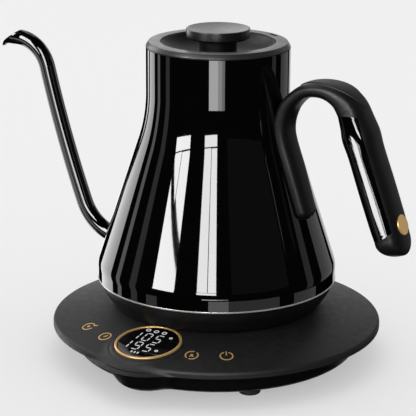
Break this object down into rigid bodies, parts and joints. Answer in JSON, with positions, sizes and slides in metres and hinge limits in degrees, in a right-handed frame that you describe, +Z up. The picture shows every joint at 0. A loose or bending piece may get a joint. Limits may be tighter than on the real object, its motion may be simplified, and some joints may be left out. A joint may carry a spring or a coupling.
{
  "type": "electric kettle",
  "caption": "Gooseneck electric kettle with hook handle and lift-out lid, on a round power base with tilted display, dial and touch icons.",
  "frame": {"origin": "on the table under the middle of the power base", "axes": "+Z up, +X from the middle to the handle, -X to the spout, -Y to the display"},
  "size_m": [0.2676, 0.1969, 0.1894],
  "materials": {
    "base_matte": "fine matte texture",
    "housing_black": "fine matte texture",
    "foot_rubber": "matte",
    "steel_fastener": "plain",
    "connector_black": "moulded",
    "brass_contact": "bright",
    "board_green": "solder mask",
    "relay_blue": "moulded",
    "transformer_tape": "tape wound",
    "gold_trim": "satin gold",
    "display_glass": "black gloss window",
    "display_light": "lit white",
    "gloss_black": "piano black gloss",
    "bright_steel": "polished edge",
    "inner_steel": "brushed",
    "heater_alloy": "cast",
    "heater_sheath": "heat darkened",
    "cutout_ceramic": "ceramic",
    "collar_satin": "satin dark grey",
    "lid_matte": "fine matte",
    "knob_satin": "satin dark grey",
    "seal_silicone": "silicone",
    "handle_matte": "soft-touch matte",
    "handle_gloss": "piano black gloss",
    "pad_matte": "fine texture"
  },
  "bodies": {
    "base": {"base_plate": "base_matte", "base_housing": "housing_black", "base_feet": "foot_rubber", "base_screws": "steel_fastener", "base_connector": "connector_black", "connector_contacts": "brass_contact", "cord_inlet": "foot_rubber", "terminal_block": "board_green", "power_board": "board_green", "relay": "relay_blue", "transformer": "transformer_tape", "touch_boards": "board_green", "touch_springs": "steel_fastener", "touch_icons": "gold_trim", "display_carrier": "connector_black", "dial_encoder": "board_green", "display_board": "board_green", "display_lens": "display_glass", "display_segments": "display_light"},
    "dial": {"dial_ring": "gold_trim"},
    "kettle_socket": {"kettle_socket": "connector_black", "socket_pin": "brass_contact"},
    "kettle": {"body_shell": "gloss_black", "trim_ring": "bright_steel", "bottom_cover": "housing_black", "cover_screws": "steel_fastener", "heating_plate": "inner_steel", "element_plate": "heater_alloy", "heating_element": "heater_sheath", "temperature_sensor": "inner_steel", "thermal_cutout": "cutout_ceramic", "spout_tube": "gloss_black", "spout_collar": "gloss_black", "collar_ring": "collar_satin", "handle_bracket": "inner_steel", "handle_screw": "steel_fastener", "handle_shell": "handle_matte", "handle_liner": "handle_gloss", "thumb_pad": "pad_matte", "handle_emblem": "gold_trim"},
    "lid": {"lid_top": "lid_matte", "lid_cup": "inner_steel", "lid_seal": "seal_silicone", "lid_knob": "knob_satin", "lid_screw": "steel_fastener"}
  },
  "joints": [
    {"name": "dial_turn", "type": "hinge", "parent": "base", "child": "dial", "pos_m": [0, -0.0744, 0.0273], "axis": [0, -0.1513, 0.9885], "continuous": true},
    {"name": "kettle_lift", "type": "slide", "parent": "base", "child": "kettle_socket", "axis": [0, 0, 1], "range_m": [0, 0.06]},
    {"name": "kettle_swivel", "type": "hinge", "parent": "kettle_socket", "child": "kettle", "pos_m": [0, 0, 0.04], "axis": [0, 0, 1], "continuous": true},
    {"name": "lid_lift", "type": "slide", "parent": "kettle", "child": "lid", "axis": [0, 0, 1], "range_m": [0, 0.05]}
  ]
}
